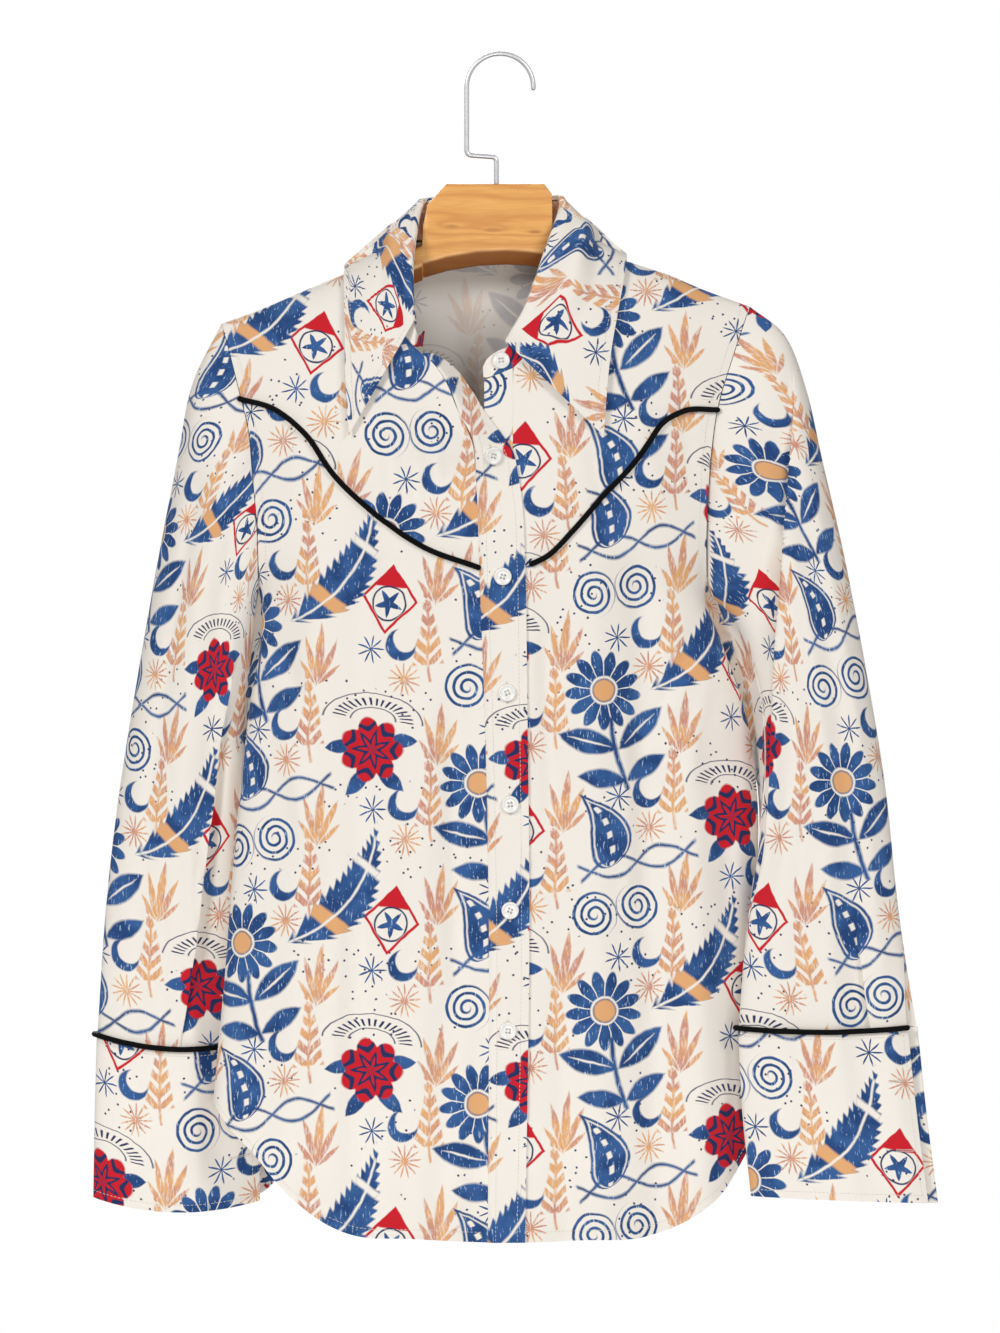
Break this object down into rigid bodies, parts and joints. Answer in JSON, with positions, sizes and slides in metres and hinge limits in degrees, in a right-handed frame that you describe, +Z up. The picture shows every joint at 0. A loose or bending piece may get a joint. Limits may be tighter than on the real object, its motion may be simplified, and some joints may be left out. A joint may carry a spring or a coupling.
{
  "type": "button-up shirt on a wooden hanger",
  "caption": "Long-sleeved shirt with curved piped yokes, long collar points, deep buttoned cuffs and a curved hem, hung on a flat wooden hanger with a wire hook.",
  "frame": {"origin": "the top of the hook's inner curve, where the rail bears", "axes": "+Z up; the shirt's front faces -Y; +X is the wearer's left"},
  "size_m": [0.5944, 0.103, 0.8344],
  "materials": {
    "cotton_print": "light plain-weave cotton printed in blue, red and tan on cream",
    "piping_black": "black satin-woven piping cord",
    "button_white": "pearl white, polished, with four thread holes",
    "hanger_wood": "amber stained and varnished wood with a straight grain",
    "hook_steel": "bright plated wire"
  },
  "bodies": {
    "root": {"yoke_right": "cotton_print", "yoke_left": "cotton_print", "front_right": "cotton_print", "front_left": "cotton_print", "back": "cotton_print", "sleeve_right": "cotton_print", "sleeve_left": "cotton_print", "cuff_right": "cotton_print", "cuff_left": "cotton_print", "placket_upper": "cotton_print", "placket_lower": "cotton_print", "collar_stand": "cotton_print", "collar_fall": "cotton_print", "piping_yoke_right": "piping_black", "piping_yoke_left": "piping_black", "piping_cuff_right": "piping_black", "piping_cuff_left": "piping_black", "button_front_1": "button_white", "button_front_2": "button_white", "button_front_3": "button_white", "button_front_4": "button_white", "button_front_5": "button_white", "button_front_6": "button_white", "button_neck": "button_white", "button_cuff_left_1": "button_white", "button_cuff_left_2": "button_white", "button_cuff_right_1": "button_white", "button_cuff_right_2": "button_white", "hanger": "hanger_wood", "hook": "hook_steel"}
  },
  "joints": []
}
